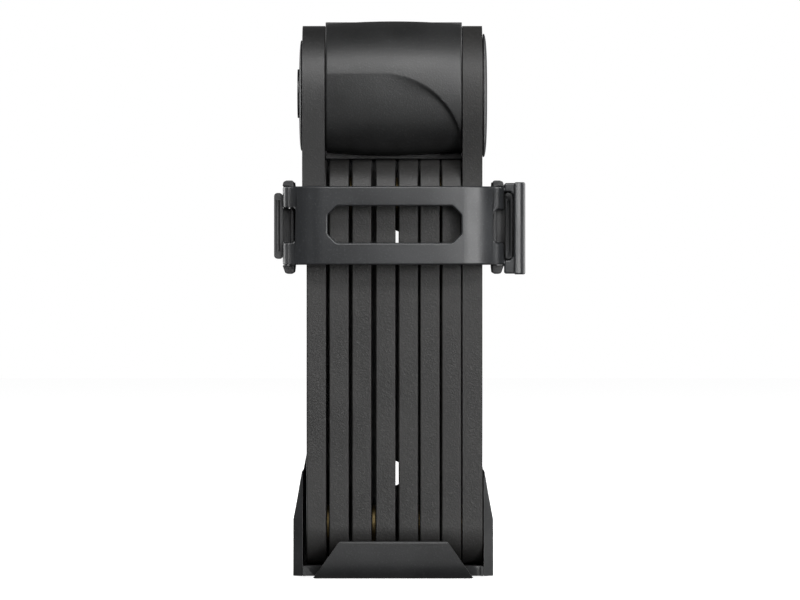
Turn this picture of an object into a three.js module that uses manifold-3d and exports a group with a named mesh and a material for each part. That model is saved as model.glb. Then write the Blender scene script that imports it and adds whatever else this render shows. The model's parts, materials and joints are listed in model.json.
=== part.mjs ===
import * as THREE from "three";
import { mergeVertices } from "three/addons/utils/BufferGeometryUtils.js";
import Module from "manifold-3d";

// A folding bike lock, folded up in the carrier that bolts it to a bicycle frame.
// Millimetres, +Z up, -Y towards the side with the strap, +X to the right seen from there.
// Heights are counted from the underside of the carrier. The exported group is lowered by
// SLOT_MID_Z, so that its origin is on the carrier's back face, midway between the bolt slots.

// Link plates, stacked side by side along X
const LINK_COUNT = 8;
const LINK_THICK = 5.4;
const LINK_RADIUS = 10.5;
const LOWER_PIVOT_Z = 14.3;
const UPPER_PIVOT_Z = 104.4;
const STACK_LEFT_X = -23.7;
const STACK_Y = -18.3;
const LINK_GAPS = [0.8, 0.8, 1.15, 0.8, 0.5, 0.5, 0.35];

// Rivets and the washers between the plates
const RIVET_RADIUS = 2.9;
const RIVET_HOLE_RADIUS = 3.2;
const RIVET_HEAD_RADIUS = 4.4;
const RIVET_HEAD_DEPTH = 1.2;
const COUNTERBORE_RADIUS = 4.7;
const COUNTERBORE_DEPTH = 1.6;
const RIVET_SUNK = 0.1;
const WASHER_RADIUS = 5.6;
const WASHER_PLAY = 0.16;

// Lock head: a barrel along X, rounded in front and flat behind
const HEAD_MID_Z = 133.95;
const HEAD_HALF_HEIGHT = 18.85;
const HEAD_FRONT = 16.5;
const HEAD_REAR = 11.5;
const HEAD_REAR_CORNER = 8;
const HEAD_LOWER_CORNER = 3;
const COVER_LEFT_X = -18.4;
const COVER_RIGHT_X = 18.8;
const COVER_WALL = 2;
const COVER_SPLIT_Y = STACK_Y + 3;
const RECESS_DEPTH = 0.9;
const RECESS_TOP_Z = 138;
const RECESS_ARC_X = -3.5;
const RECESS_ARC_RADIUS = 22.6;
const SIDE_LEFT_X = -24.9;
const SIDE_RIGHT_X = -18.7;
const SIDE_INSET = 1.2;
const CHEEK_THICK = 1;
const ARM_FRONT = 12.3;
const PIVOT_ROOM = 0.4;
const REAR_FACE_Y = STACK_Y + HEAD_REAR;
const FIT = 0.3;

// Thin lens-shaped caps on the head's two sides
const LEFT_CAP = { gap: 0.2, rise: 0.8, halfDepth: 11.5, halfHeight: 15.2, z: 132.5 };
const RIGHT_CAP = { gap: 0.2, rise: 1.2, halfDepth: 12, halfHeight: 17, z: 132.5 };

// Screws through the rear cover
const SCREW_X = [-12, 12];
const SCREW_Z = 144;
const SCREW_RADIUS = 1.3;
const SCREW_LENGTH = 7;
const SCREW_HEAD_RADIUS = 2.6;
const SCREW_HEAD_DEPTH = 0.8;
const SCREW_SEAT_DEPTH = 1;
const DRIVE_SLOT = { halfWidth: 0.4, halfLength: 1.6, depth: 0.4 };

// Dust cover over the keyhole, hinged behind it
const FLAP_RADIUS = 6.7;
const FLAP_THICK = 1.15;
const FLAP_GAP = 0.25;
const FLAP_HINGE = { x: -25.4, y: STACK_Y + 8.6, halfHeight: 2.6 };
const FLAP_KNUCKLE_RADIUS = 0.85;
const FLAP_PIN_RADIUS = 0.4;
const FLAP_PIN_PLAY = 0.1;
const FLAP_TONGUE = { inset: 0.3, root: 5.2 };

// Lock cylinder, along X in the head, and the bolt that it drives into the last link
const CYLINDER_Z = 133;
const CYLINDER_RADIUS = 8;
const PLUG_RADIUS = 5.5;
const PLUG_BORE_RADIUS = 5.8;
const CYLINDER_LEFT_X = -24.8;
const CYLINDER_RIGHT_X = -6;
const KEYWAY = { halfWidth: 1.1, halfHeight: 3.8, depth: 15 };
const CAM_RADIUS = 6.4;
const CAM_GAP = 0.7;
const CAM_THICK = 2;
const TONGUE = { length: 9, halfWidth: 1, halfHeight: 3 };
const CAVITY_RADIUS = 7;
const CAVITY_RIGHT_X = 13.2;
const BOLT_TAIL_RADIUS = 6.5;
const BOLT_TAIL_GAP = 3.3;
const BOLT_TAIL_LENGTH = 10.9;
const BOLT_SOCKET_RADIUS = 4.1;
const BOLT_SOCKET_WALL = 1.2;
const BOLT_RADIUS = 4.4;
const BOLT_HOLE_RADIUS = 4.8;
const BOLT_TIP_X = 18.4;

// Carrier: a moulded tray with a back plate, a cup for the links' ends and two strap arms
const SLOT_MID_Z = 60.1;
const SLOT_SPACING = 64;
const SLOT_WIDTH = 5.4;
const SLOT_LENGTH = 7.1;
const PLATE_FRONT_Y = -7;
const PLATE_BACK_Y = -3.8;
const PLATE_TOP_Z = 114.6;
const PLATE_HALF_WIDTH = 23.2;
const PLATE_TOP_HALF_WIDTH = 18;
const PLATE_TOP_SLOPE = 4;
const CUP_HALF_WIDTH = 27.4;
const CUP_SHOULDER_Z = 16.1;
const CUP_TAPER_TOP_Z = 38;
const CUP_INNER_X = 24.8;
const FLOOR_Z = 0.7;
const FLOOR_TOP_Z = 3.4;
const FLOOR_FRONT_Y = -29.9;
const LIP_HALF_WIDTH = 22;
const LIP_TOP_HALF_WIDTH = 14.1;
const LIP_TOP_Z = 10.4;
const LIP_LEAN = 2;
const LIP_THICK = 2.4;
const LIP_BELLY = { y: 1.4, z: 3.2 };
const CUP_EDGE_Y = [-27.5, -25.5];
const CUP_TIP = { width: 0.4, drop: 2 };
const RAIL = { halfWidth: 11, z: [12, 108], corner: 3 };
const BACK_RIB = { y: -1.2, thick: 1.6, firstZ: 20, pitch: 16 };
const EDGE_RIB = { thick: 1.8, belowTop: 6 };
const ARM_INNER_X = 27;
const ARM_OUTER_X = 28.2;
const ARM_RIB_X = 30.2;
const ARM_LOW_Z = 83.5;
const ARM_HIGH_Z = 108.8;
const ARM_FRONT_Y = -28.6;
const ARM_CORNER = 2.5;
const ARM_WEB_Z = [87, 106];
const ARM_RIB_REAR_Y = -14;
const ARM_RIB_INSET = 0.6;
const HOOK_NECK = { y: [-27, -21.5], z: [92, 100.7] };
const HOOK_PLATE = { x: [30.55, 32.6], y: [-27.8, -20.5], z: [87.5, 105.5], corner: 1.6 };

// Strap: a moulded elastomer band with a pull tab on its right end
const STRAP_LOW_Z = 85.8;
const STRAP_HIGH_Z = 107.2;
const STRAP_FRONT_Y = -36.1;
const STRAP_THICK = 2.8;
const STRAP_LEG_X = [28.7, 30.2];
const STRAP_FLAT_X = 14;
const STRAP_CORNER_Y = -28;
const STRAP_HINGE = { x: -28.7, y: -30, radius: 0.9, gap: 1.2 };
const STRAP_LEFT_REAR_Y = -19.3;
const STRAP_RIGHT_REAR_Y = -24.5;
const STRAP_Z = [STRAP_LOW_Z, STRAP_HIGH_Z];
const STRAP_WINDOW = { x: [-17.8, 18.5], z: [91.8, 101.8], corner: 2.3 };
const STRAP_SLOT = { x: -26.6, rear: -21.2, z: [91.9, 101.4] };
const STRAP_NOTCH = { x: 27.3, z: [91.8, 100.9] };
const TAB = { x: [30.5, 36.2], y: [-31, -24.5], z: [83.2, 108.4], corner: 1.2 };
const TAB_GRIP_X = 33.1;
const TAB_CHAMFER = 0.5;
const TAB_BRIDGE_INSET = 0.5;
const TAB_WINDOW_Z = [87.1, 105.9];

// Beyond every part of the object, for cutting blocks
const FAR = 60;

// How far shapes that are joined run into one another
const MERGE = 0.5;

const ROUND = 24;
const SMALL_ROUND = 14;
const CURVE_STEPS = 6;

const wasm = await Module();
wasm.setup();

const finish = (color, roughness, metalness) =>
  new THREE.MeshStandardMaterial({ color, roughness, metalness });
const materials = {
  carrier: finish(0x24262a, 0.62, 0),
  strap: finish(0x303235, 0.5, 0),
  powder: finish(0x2b2a29, 0.7, 0.3),
  cover: finish(0x2a2b2d, 0.55, 0),
  steel: finish(0x9a9b9c, 0.35, 1),
  brass: finish(0xb89a52, 0.35, 1),
  case: finish(0x55575a, 0.5, 0.8),
};

// --- Solids -------------------------------------------------------------------------------

// A closed three.js geometry as a solid with its faces pointing out.
function solid(geometry) {
  const bare = geometry.index ? geometry.toNonIndexed() : geometry.clone();
  bare.deleteAttribute("normal");
  bare.deleteAttribute("uv");
  const merged = mergeVertices(bare, 1e-4);
  const vertProperties = merged.attributes.position.array;
  const triVerts = new Uint32Array(merged.index.array);
  const body = new wasm.Manifold(new wasm.Mesh({ numProp: 3, vertProperties, triVerts }));
  if (body.volume() > 0) return body;
  for (let i = 0; i < triVerts.length; i += 3) {
    [triVerts[i + 1], triVerts[i + 2]] = [triVerts[i + 2], triVerts[i + 1]];
  }
  return new wasm.Manifold(new wasm.Mesh({ numProp: 3, vertProperties, triVerts }));
}

function geometryOf(body) {
  const mesh = body.getMesh();
  const positions = new Float32Array(mesh.numVert * 3);
  for (let i = 0; i < mesh.numVert; i++) {
    const start = i * mesh.numProp;
    positions.set(mesh.vertProperties.subarray(start, start + 3), i * 3);
  }
  const geometry = new THREE.BufferGeometry();
  geometry.setAttribute("position", new THREE.BufferAttribute(positions, 3));
  geometry.setIndex(new THREE.BufferAttribute(mesh.triVerts, 1));
  geometry.computeVertexNormals();
  return geometry;
}

function block(x, y, z) {
  const geometry = new THREE.BoxGeometry(x[1] - x[0], y[1] - y[0], z[1] - z[0]);
  geometry.translate((x[0] + x[1]) / 2, (y[0] + y[1]) / 2, (z[0] + z[1]) / 2);
  return solid(geometry);
}

function extrude(shape, depth) {
  return new THREE.ExtrudeGeometry(shape, { depth, bevelEnabled: false, curveSegments: CURVE_STEPS });
}

// An outline drawn in (y, z), pulled from x[0] to x[1].
function alongX(shape, x) {
  const geometry = extrude(shape, x[1] - x[0]);
  const toY = new THREE.Vector3(0, 1, 0);
  const toZ = new THREE.Vector3(0, 0, 1);
  const toX = new THREE.Vector3(1, 0, 0);
  geometry.applyMatrix4(new THREE.Matrix4().makeBasis(toY, toZ, toX));
  geometry.translate(x[0], 0, 0);
  return solid(geometry);
}

// An outline drawn in (x, z), pulled from y[0] to y[1].
function alongY(shape, y) {
  const geometry = extrude(shape, y[1] - y[0]);
  geometry.rotateX(Math.PI / 2);
  geometry.translate(0, y[1], 0);
  return solid(geometry);
}

// An outline drawn in (x, y), pulled from z[0] to z[1].
function alongZ(shape, z) {
  const geometry = extrude(shape, z[1] - z[0]);
  geometry.translate(0, 0, z[0]);
  return solid(geometry);
}

// A cylinder along X from x[0] to x[1], centred on (y, z).
function rod(radius, x, y, z, segments = ROUND) {
  const geometry = new THREE.CylinderGeometry(radius, radius, x[1] - x[0], segments);
  geometry.rotateZ(Math.PI / 2);
  geometry.translate((x[0] + x[1]) / 2, y, z);
  return solid(geometry);
}

// A cylinder along Y, centred on (x, z).
function pegAlongY(radius, y, x, z) {
  const geometry = new THREE.CylinderGeometry(radius, radius, y[1] - y[0], SMALL_ROUND);
  geometry.translate(x, (y[0] + y[1]) / 2, z);
  return solid(geometry);
}

// A cylinder along Z, centred on (x, y).
function pegAlongZ(radius, z, x, y) {
  const geometry = new THREE.CylinderGeometry(radius, radius, z[1] - z[0], SMALL_ROUND);
  geometry.rotateX(Math.PI / 2);
  geometry.translate(x, y, (z[0] + z[1]) / 2);
  return solid(geometry);
}

// A profile of [radius, height] points turned about an axis.
function turned(profile, segments) {
  const points = profile.map(([radius, height]) => new THREE.Vector2(radius, height));
  return new THREE.LatheGeometry(points, segments);
}

// A polygon of [u, v, radius] corners, each rounded by its radius.
function outline(corners) {
  const shape = new THREE.Shape();
  corners.forEach(([u, v, radius = 0], i) => {
    const before = corners.at(i - 1);
    const after = corners[(i + 1) % corners.length];
    const here = new THREE.Vector2(u, v);
    const step = (other) =>
      here.clone().add(new THREE.Vector2(other[0] - u, other[1] - v).setLength(radius));
    const start = radius ? step(before) : here;
    if (i === 0) shape.moveTo(start.x, start.y);
    else shape.lineTo(start.x, start.y);
    if (!radius) return;
    const end = step(after);
    shape.quadraticCurveTo(u, v, end.x, end.y);
  });
  shape.closePath();
  return shape;
}

const rectangle = (u, v, radius = 0) =>
  outline([
    [u[0], v[0], radius],
    [u[1], v[0], radius],
    [u[1], v[1], radius],
    [u[0], v[1], radius],
  ]);

const group = new THREE.Group();
group.name = "folding_lock";
group.position.z = -SLOT_MID_Z;

function add(name, body, material) {
  const mesh = new THREE.Mesh(geometryOf(body), material);
  mesh.name = name;
  group.add(mesh);
}

// --- Link plates, rivets and washers ------------------------------------------------------

// Left face of link i, counted from 0.
function linkLeft(i) {
  const gaps = LINK_GAPS.slice(0, i).reduce((sum, gap) => sum + gap, 0);
  return STACK_LEFT_X + i * LINK_THICK + gaps;
}

// Side outline of a link: a bar with a half-round end about each pivot.
function linkOutline(topZ) {
  const shape = new THREE.Shape();
  shape.absarc(STACK_Y, LOWER_PIVOT_Z, LINK_RADIUS, Math.PI, 2 * Math.PI, false);
  shape.absarc(STACK_Y, topZ, LINK_RADIUS, 0, Math.PI, false);
  shape.closePath();
  return shape;
}

// Rivet hole through a link, with a counterbore in one of its faces.
function pivotHole(left, z, boredFace) {
  const right = left + LINK_THICK;
  const hole = rod(RIVET_HOLE_RADIUS, [left - 1, right + 1], STACK_Y, z, SMALL_ROUND);
  const sunk =
    boredFace === "left" ? [left - 1, left + COUNTERBORE_DEPTH] : [right - COUNTERBORE_DEPTH, right + 1];
  return hole.add(rod(COUNTERBORE_RADIUS, sunk, STACK_Y, z, SMALL_ROUND));
}

function link(i) {
  const left = linkLeft(i);
  const across = [left, left + LINK_THICK];
  const even = i % 2 === 0;
  const isLast = i === LINK_COUNT - 1;
  let body = alongX(linkOutline(isLast ? HEAD_MID_Z : UPPER_PIVOT_Z), across);
  if (isLast) {
    // The last link is longer: its upper end lies against the head and takes the bolt.
    body = body.add(alongX(headOutline(SIDE_INSET), across));
    const hole = rod(BOLT_HOLE_RADIUS, [left - 1, left + LINK_THICK + 1], STACK_Y, CYLINDER_Z);
    body = body.subtract(hole);
  } else {
    body = body.subtract(pivotHole(left, UPPER_PIVOT_Z, even ? "right" : "left"));
  }
  return body.subtract(pivotHole(left, LOWER_PIVOT_Z, even ? "left" : "right"));
}

// Rivet between two x positions, with a flat round head on each end.
function rivet(x, z) {
  const length = x[1] - x[0];
  const profile = [
    [0, 0],
    [RIVET_HEAD_RADIUS, 0],
    [RIVET_HEAD_RADIUS, RIVET_HEAD_DEPTH],
    [RIVET_RADIUS, RIVET_HEAD_DEPTH],
    [RIVET_RADIUS, length - RIVET_HEAD_DEPTH],
    [RIVET_HEAD_RADIUS, length - RIVET_HEAD_DEPTH],
    [RIVET_HEAD_RADIUS, length],
    [0, length],
  ];
  const geometry = turned(profile, SMALL_ROUND);
  geometry.rotateZ(-Math.PI / 2);
  geometry.translate(x[0], STACK_Y, z);
  return solid(geometry);
}

// Washer that fills the gap to the right of link i, less its play.
function washer(i, z) {
  const left = linkLeft(i) + LINK_THICK + WASHER_PLAY / 2;
  const x = [left, left + LINK_GAPS[i] - WASHER_PLAY];
  const ring = rod(WASHER_RADIUS, x, STACK_Y, z, SMALL_ROUND);
  return ring.subtract(rod(RIVET_HOLE_RADIUS, [x[0] - 1, x[1] + 1], STACK_Y, z, SMALL_ROUND));
}

function addChain() {
  for (let i = 0; i < LINK_COUNT; i++) {
    add(`link_${i + 1}`, link(i), materials.powder);
  }
  for (let i = 0; i < LINK_COUNT - 1; i++) {
    const z = i % 2 === 0 ? LOWER_PIVOT_Z : UPPER_PIVOT_Z;
    const ends = [linkLeft(i) + RIVET_SUNK, linkLeft(i + 1) + LINK_THICK - RIVET_SUNK];
    add(`link_rivet_${i + 1}`, rivet(ends, z), materials.steel);
    add(`link_washer_${i + 1}`, washer(i, z), materials.brass);
  }
  const headEnds = [SIDE_LEFT_X - RIVET_HEAD_DEPTH / 2, linkLeft(0) + LINK_THICK - RIVET_SUNK];
  add("head_pivot_rivet", rivet(headEnds, UPPER_PIVOT_Z), materials.steel);
}

// --- Lock head ----------------------------------------------------------------------------

// Side outline of the head, moved inwards by inset.
function headOutline(inset) {
  const top = HEAD_MID_Z + HEAD_HALF_HEIGHT - inset;
  const bottom = HEAD_MID_Z - HEAD_HALF_HEIGHT + inset;
  const rear = STACK_Y + HEAD_REAR - inset;
  const shape = new THREE.Shape();
  const half = Math.PI / 2;
  const size = [HEAD_FRONT - inset, HEAD_HALF_HEIGHT - inset];
  shape.absellipse(STACK_Y, HEAD_MID_Z, ...size, -half, half, true);
  shape.lineTo(rear - HEAD_REAR_CORNER, top);
  shape.quadraticCurveTo(rear, top, rear, top - HEAD_REAR_CORNER);
  shape.lineTo(rear, bottom + HEAD_LOWER_CORNER);
  shape.quadraticCurveTo(rear, bottom, rear - HEAD_LOWER_CORNER, bottom);
  shape.closePath();
  return shape;
}

function coverShell() {
  const x = [COVER_LEFT_X, COVER_RIGHT_X];
  const inner = alongX(headOutline(COVER_WALL), [x[0] - 1, x[1] + 1]);
  return alongX(headOutline(0), x).subtract(inner);
}

// The low region of the front cover, bounded above by a line and a quarter circle.
function recessCutter() {
  const low = HEAD_MID_Z - HEAD_HALF_HEIGHT - 1;
  const shape = new THREE.Shape();
  shape.moveTo(COVER_LEFT_X - 1, low);
  shape.lineTo(RECESS_ARC_X + RECESS_ARC_RADIUS, low);
  const centreZ = RECESS_TOP_Z - RECESS_ARC_RADIUS;
  shape.absarc(RECESS_ARC_X, centreZ, RECESS_ARC_RADIUS, 0, Math.PI / 2, false);
  shape.lineTo(COVER_LEFT_X - 1, RECESS_TOP_Z);
  shape.closePath();
  const front = alongY(shape, [STACK_Y - 2 * HEAD_FRONT, STACK_Y]);
  const across = [COVER_LEFT_X - 2, COVER_RIGHT_X + 2];
  return front.subtract(alongX(headOutline(RECESS_DEPTH), across));
}

// The space in front of y, or behind it, around the whole head.
const inFrontOf = (y) => block([-FAR, FAR], [-FAR, y], [0, 3 * FAR]);
const behind = (y) => block([-FAR, FAR], [y, FAR], [0, 3 * FAR]);

function frontCover() {
  return coverShell().intersect(inFrontOf(COVER_SPLIT_Y)).subtract(recessCutter());
}

function rearCover() {
  let body = coverShell().intersect(behind(COVER_SPLIT_Y + FIT));
  const through = [REAR_FACE_Y - 2 * COVER_WALL, FAR];
  const seat = [REAR_FACE_Y - SCREW_SEAT_DEPTH, FAR];
  for (const x of SCREW_X) {
    body = body.subtract(pegAlongY(SCREW_RADIUS + FIT, through, x, SCREW_Z));
    body = body.subtract(pegAlongY(SCREW_HEAD_RADIUS + FIT, seat, x, SCREW_Z));
  }
  return body;
}

function coverScrew(x) {
  const shankY = [REAR_FACE_Y - SCREW_LENGTH, REAR_FACE_Y - SCREW_HEAD_DEPTH / 2];
  const headY = [REAR_FACE_Y - SCREW_HEAD_DEPTH, REAR_FACE_Y];
  const { halfWidth, halfLength, depth } = DRIVE_SLOT;
  const slot = block(
    [x - halfWidth, x + halfWidth],
    [REAR_FACE_Y - depth, REAR_FACE_Y + 1],
    [SCREW_Z - halfLength, SCREW_Z + halfLength],
  );
  const shank = pegAlongY(SCREW_RADIUS, shankY, x, SCREW_Z);
  return shank.add(pegAlongY(SCREW_HEAD_RADIUS, headY, x, SCREW_Z)).subtract(slot);
}

function lockBody() {
  const x = [COVER_LEFT_X + FIT, COVER_RIGHT_X - FIT];
  let body = alongX(headOutline(COVER_WALL + FIT), x);
  const bore = (radius, from, to) => rod(radius, [from, to], STACK_Y, CYLINDER_Z);
  body = body.subtract(bore(CYLINDER_RADIUS + FIT, x[0] - 1, CYLINDER_RIGHT_X + FIT));
  body = body.subtract(bore(CAVITY_RADIUS, CYLINDER_RIGHT_X, CAVITY_RIGHT_X));
  body = body.subtract(bore(BOLT_HOLE_RADIUS, CAVITY_RIGHT_X - 1, x[1] + 1));
  for (const screwX of SCREW_X) {
    const holeY = [REAR_FACE_Y - SCREW_LENGTH - FIT, FAR];
    const hole = pegAlongY(SCREW_RADIUS + FIT, holeY, screwX, SCREW_Z);
    body = body.subtract(hole);
  }
  return body;
}

// The hollow in the head's left side that the keyhole flap's hinge turns in.
function flapHingeHollow() {
  const reach = FLAP_KNUCKLE_RADIUS + FLAP_GAP;
  const high = FLAP_HINGE.halfHeight + FIT;
  return block(
    [FLAP_HINGE.x - 3, FLAP_HINGE.x + reach],
    [FLAP_HINGE.y - reach, FLAP_HINGE.y + reach],
    [CYLINDER_Z - high, CYLINDER_Z + high],
  );
}

// Left side of the head: a barrel-shaped block with an arm down to the first link's pivot.
function leftSide() {
  const x = [SIDE_LEFT_X, SIDE_RIGHT_X];
  const cheek = [SIDE_LEFT_X, SIDE_LEFT_X + CHEEK_THICK];
  const armHalf = LINK_RADIUS;
  const armTop = HEAD_MID_Z;
  const arm = outline([
    [STACK_Y - ARM_FRONT, UPPER_PIVOT_Z],
    [STACK_Y + armHalf, UPPER_PIVOT_Z],
    [STACK_Y + armHalf, armTop],
    [STACK_Y - ARM_FRONT, armTop],
  ]);
  const beside = [cheek[1], x[1] + 1];
  const room = rod(LINK_RADIUS + PIVOT_ROOM, beside, STACK_Y, UPPER_PIVOT_Z);
  const roomZ = [UPPER_PIVOT_Z - FAR, UPPER_PIVOT_Z + LINK_RADIUS + PIVOT_ROOM];
  const rearRoom = block(beside, [STACK_Y, STACK_Y + FAR], roomZ);
  let body = alongX(headOutline(SIDE_INSET), x).add(alongX(arm, x));
  body = body.subtract(room).subtract(rearRoom);
  body = body.add(rod(LINK_RADIUS, cheek, STACK_Y, UPPER_PIVOT_Z));
  const bore = [x[0] - 1, x[1] + 1];
  body = body.subtract(rod(CYLINDER_RADIUS + FIT, bore, STACK_Y, CYLINDER_Z));
  body = body.subtract(rod(RIVET_HOLE_RADIUS, bore, STACK_Y, UPPER_PIVOT_Z, SMALL_ROUND));
  const seat = [x[0] - 1, x[0] + RIVET_HEAD_DEPTH / 2 + RIVET_SUNK];
  body = body.subtract(rod(COUNTERBORE_RADIUS, seat, STACK_Y, UPPER_PIVOT_Z, SMALL_ROUND));
  return body.subtract(flapHingeHollow());
}

// A thin lens on the head's side with its flat back at x; facing is -1 for left and 1 for right.
function sideLens(x, facing, { rise, halfDepth, halfHeight, z }) {
  const profile = [
    [0, 0],
    [1, 0],
    [1, 0.35],
    [0.9, 0.65],
    [0.6, 0.9],
    [0, 1],
  ];
  const geometry = turned(profile, ROUND);
  geometry.rotateZ((-facing * Math.PI) / 2);
  geometry.scale(rise, halfDepth, halfHeight);
  geometry.translate(x, STACK_Y, z);
  return solid(geometry);
}

function leftCap() {
  const body = sideLens(SIDE_LEFT_X - LEFT_CAP.gap, -1, LEFT_CAP);
  const through = [SIDE_LEFT_X - 3, SIDE_LEFT_X + 3];
  const high = FLAP_HINGE.halfHeight + FIT;
  const hole = rod(FLAP_RADIUS + FIT, through, STACK_Y, CYLINDER_Z);
  const slot = block(through, [STACK_Y, FLAP_HINGE.y], [CYLINDER_Z - high, CYLINDER_Z + high]);
  return body.subtract(hole).subtract(slot).subtract(flapHingeHollow());
}

function rightCap() {
  const right = linkLeft(LINK_COUNT - 1) + LINK_THICK;
  return sideLens(right + RIGHT_CAP.gap, 1, RIGHT_CAP);
}

function keyholeFlap() {
  const x = [SIDE_LEFT_X - FLAP_GAP - FLAP_THICK, SIDE_LEFT_X - FLAP_GAP];
  const disc = rod(FLAP_RADIUS, x, STACK_Y, CYLINDER_Z);
  const { x: hingeX, y, halfHeight } = FLAP_HINGE;
  const tongueZ = [CYLINDER_Z - halfHeight, CYLINDER_Z + halfHeight];
  const tongue = block([x[0] + FLAP_TONGUE.inset, x[1]], [STACK_Y + FLAP_TONGUE.root, y], tongueZ);
  const knuckle = pegAlongZ(FLAP_KNUCKLE_RADIUS, tongueZ, hingeX, y);
  const eye = pegAlongZ(FLAP_PIN_RADIUS + FLAP_PIN_PLAY, [tongueZ[0] - 1, tongueZ[1] + 1], hingeX, y);
  return disc.add(tongue).add(knuckle).subtract(eye);
}

function flapPin() {
  const half = FLAP_HINGE.halfHeight + FLAP_PIN_PLAY;
  const z = [CYLINDER_Z - half, CYLINDER_Z + half];
  return pegAlongZ(FLAP_PIN_RADIUS, z, FLAP_HINGE.x, FLAP_HINGE.y);
}

function cylinderShell() {
  const x = [CYLINDER_LEFT_X, CYLINDER_RIGHT_X];
  const bore = rod(PLUG_BORE_RADIUS, [x[0] - 1, x[1] + 1], STACK_Y, CYLINDER_Z);
  return rod(CYLINDER_RADIUS, x, STACK_Y, CYLINDER_Z).subtract(bore);
}

function cylinderPlug() {
  const { halfWidth, halfHeight, depth } = KEYWAY;
  const keyway = block(
    [CYLINDER_LEFT_X - 1, CYLINDER_LEFT_X + depth],
    [STACK_Y - halfWidth, STACK_Y + halfWidth],
    [CYLINDER_Z - halfHeight, CYLINDER_Z + halfHeight],
  );
  const x = [CYLINDER_LEFT_X, CYLINDER_RIGHT_X + CAM_GAP / 2];
  return rod(PLUG_RADIUS, x, STACK_Y, CYLINDER_Z).subtract(keyway);
}

// Disc on the plug's inner end with a flat tongue that works in the bolt's socket.
function cylinderCam() {
  const x = [CYLINDER_RIGHT_X + CAM_GAP, CYLINDER_RIGHT_X + CAM_GAP + CAM_THICK];
  const { length, halfWidth, halfHeight } = TONGUE;
  const tongue = block(
    [x[1] - 0.2, x[1] - 0.2 + length],
    [STACK_Y - halfWidth, STACK_Y + halfWidth],
    [CYLINDER_Z - halfHeight, CYLINDER_Z + halfHeight],
  );
  return rod(CAM_RADIUS, x, STACK_Y, CYLINDER_Z).add(tongue);
}

function lockingBolt() {
  const left = CYLINDER_RIGHT_X + BOLT_TAIL_GAP;
  const tail = [left, left + BOLT_TAIL_LENGTH];
  const socket = [tail[0] - 1, tail[1] - BOLT_SOCKET_WALL];
  const nose = [tail[1] - 1, BOLT_TIP_X];
  return rod(BOLT_TAIL_RADIUS, tail, STACK_Y, CYLINDER_Z)
    .add(rod(BOLT_RADIUS, nose, STACK_Y, CYLINDER_Z))
    .subtract(rod(BOLT_SOCKET_RADIUS, socket, STACK_Y, CYLINDER_Z));
}

function addHead() {
  add("lock_body", lockBody(), materials.case);
  add("front_cover", frontCover(), materials.cover);
  add("rear_cover", rearCover(), materials.cover);
  SCREW_X.forEach((x, i) => add(`cover_screw_${i + 1}`, coverScrew(x), materials.steel));
  add("left_side", leftSide(), materials.cover);
  add("left_cap", leftCap(), materials.cover);
  add("right_cap", rightCap(), materials.cover);
  add("keyhole_flap", keyholeFlap(), materials.cover);
  add("keyhole_flap_pin", flapPin(), materials.steel);
  add("cylinder_shell", cylinderShell(), materials.brass);
  add("cylinder_plug", cylinderPlug(), materials.brass);
  add("cylinder_cam", cylinderCam(), materials.steel);
  add("locking_bolt", lockingBolt(), materials.steel);
}

// --- Carrier ------------------------------------------------------------------------------

// Front outline of the back plate: narrow at the top, flaring to the cup at the bottom.
function backPlate() {
  const shape = outline([
    [-CUP_HALF_WIDTH, FLOOR_Z],
    [CUP_HALF_WIDTH, FLOOR_Z],
    [CUP_HALF_WIDTH, CUP_SHOULDER_Z],
    [PLATE_HALF_WIDTH, CUP_TAPER_TOP_Z, 3],
    [PLATE_HALF_WIDTH, PLATE_TOP_Z - PLATE_TOP_SLOPE, 3],
    [PLATE_TOP_HALF_WIDTH, PLATE_TOP_Z, 2],
    [-PLATE_TOP_HALF_WIDTH, PLATE_TOP_Z, 2],
    [-PLATE_HALF_WIDTH, PLATE_TOP_Z - PLATE_TOP_SLOPE, 3],
    [-PLATE_HALF_WIDTH, CUP_TAPER_TOP_Z, 3],
    [-CUP_HALF_WIDTH, CUP_SHOULDER_Z],
  ]);
  return alongY(shape, [PLATE_FRONT_Y, PLATE_BACK_Y]);
}

// Rail down the middle of the back, with ribs to each side of it.
function backRail() {
  const front = PLATE_BACK_Y - MERGE;
  const { halfWidth, z: railZ, corner } = RAIL;
  let body = alongY(rectangle([-halfWidth, halfWidth], railZ, corner), [front, 0]);
  const ribY = [front, BACK_RIB.y];
  const wide = [-PLATE_HALF_WIDTH, PLATE_HALF_WIDTH];
  for (let z = BACK_RIB.firstZ; z < railZ[1]; z += BACK_RIB.pitch) {
    body = body.add(block(wide, ribY, [z, z + BACK_RIB.thick]));
  }
  const edgeZ = [railZ[0], PLATE_TOP_Z - EDGE_RIB.belowTop];
  for (const x of [wide[0], wide[1] - EDGE_RIB.thick]) {
    body = body.add(block([x, x + EDGE_RIB.thick], ribY, edgeZ));
  }
  return body;
}

function boltSlot(z) {
  const radius = SLOT_WIDTH / 2;
  const reach = SLOT_LENGTH / 2 - radius;
  const shape = new THREE.Shape();
  shape.absarc(0, z - reach, radius, Math.PI, 2 * Math.PI, false);
  shape.absarc(0, z + reach, radius, 0, Math.PI, false);
  shape.closePath();
  return alongY(shape, [PLATE_FRONT_Y - 1, 1]);
}

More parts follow.
